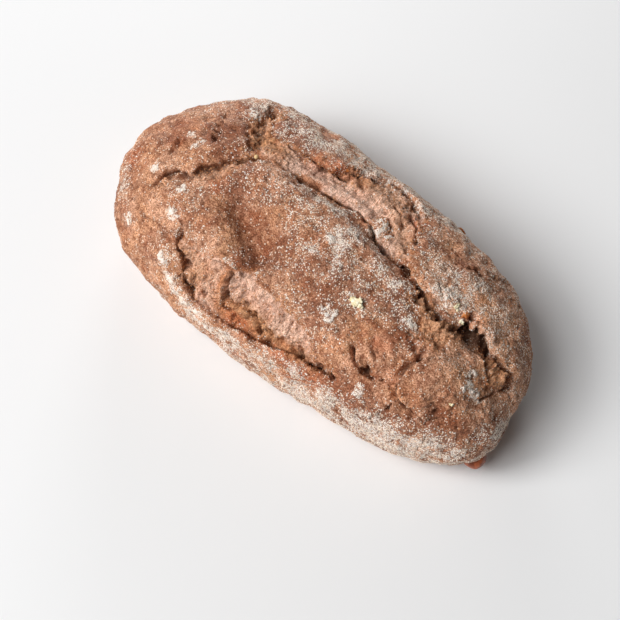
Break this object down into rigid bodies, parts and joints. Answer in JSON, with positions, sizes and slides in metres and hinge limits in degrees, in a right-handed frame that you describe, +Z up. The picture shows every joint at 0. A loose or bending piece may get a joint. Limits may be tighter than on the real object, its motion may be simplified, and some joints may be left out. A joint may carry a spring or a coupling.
{
  "type": "bread roll",
  "caption": "Rustic wholegrain ciabatta-style bread roll, one long floured loaf torn open along its crown and one flank, with a walnut bit at its foot.",
  "frame": {"origin": "middle of the flat base", "axes": "+Z up, +X along the loaf towards the end with the walnut bit"},
  "size_m": [0.162, 0.0833, 0.0488],
  "materials": {
    "crust": "dry baked crust, reddish brown, dusted with pale flour and open brown crumb in its tears",
    "nutmeat": "baked walnut, orange-brown, slightly oily"
  },
  "bodies": {
    "root": {"roll": "crust", "nut_piece": "nutmeat"}
  },
  "joints": []
}
